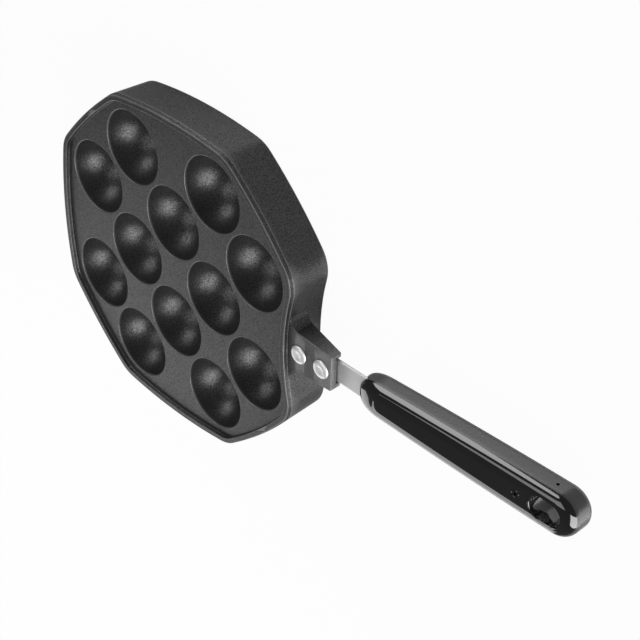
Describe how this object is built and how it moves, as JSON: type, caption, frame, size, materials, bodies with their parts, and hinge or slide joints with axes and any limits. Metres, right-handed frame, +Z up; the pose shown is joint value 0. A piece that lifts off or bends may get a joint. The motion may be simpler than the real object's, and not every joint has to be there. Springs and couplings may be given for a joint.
{
  "type": "takoyaki pan",
  "caption": "Eight-sided cast pan with round cavities for batter balls, on a flat steel tang with a moulded handle and hanging slot.",
  "frame": {"origin": "middle of the whole pan's bounding box in X and Y, on the plane that the pan stands on", "axes": "+X along the handle towards its hanging end, +Z up out of the cooking face, +Y to the left when looking along the handle"},
  "size_m": [0.3464, 0.1802, 0.026],
  "materials": {
    "non_stick_coating": "dark grey speckled satin",
    "tang_steel": "satin",
    "rivet_aluminium": "bright pressed",
    "handle_bakelite": "glossy moulded"
  },
  "bodies": {
    "root": {"pan_body": "non_stick_coating", "handle_tang": "tang_steel", "inner_rivet": "rivet_aluminium", "outer_rivet": "rivet_aluminium", "handle_grip": "handle_bakelite"}
  },
  "joints": []
}
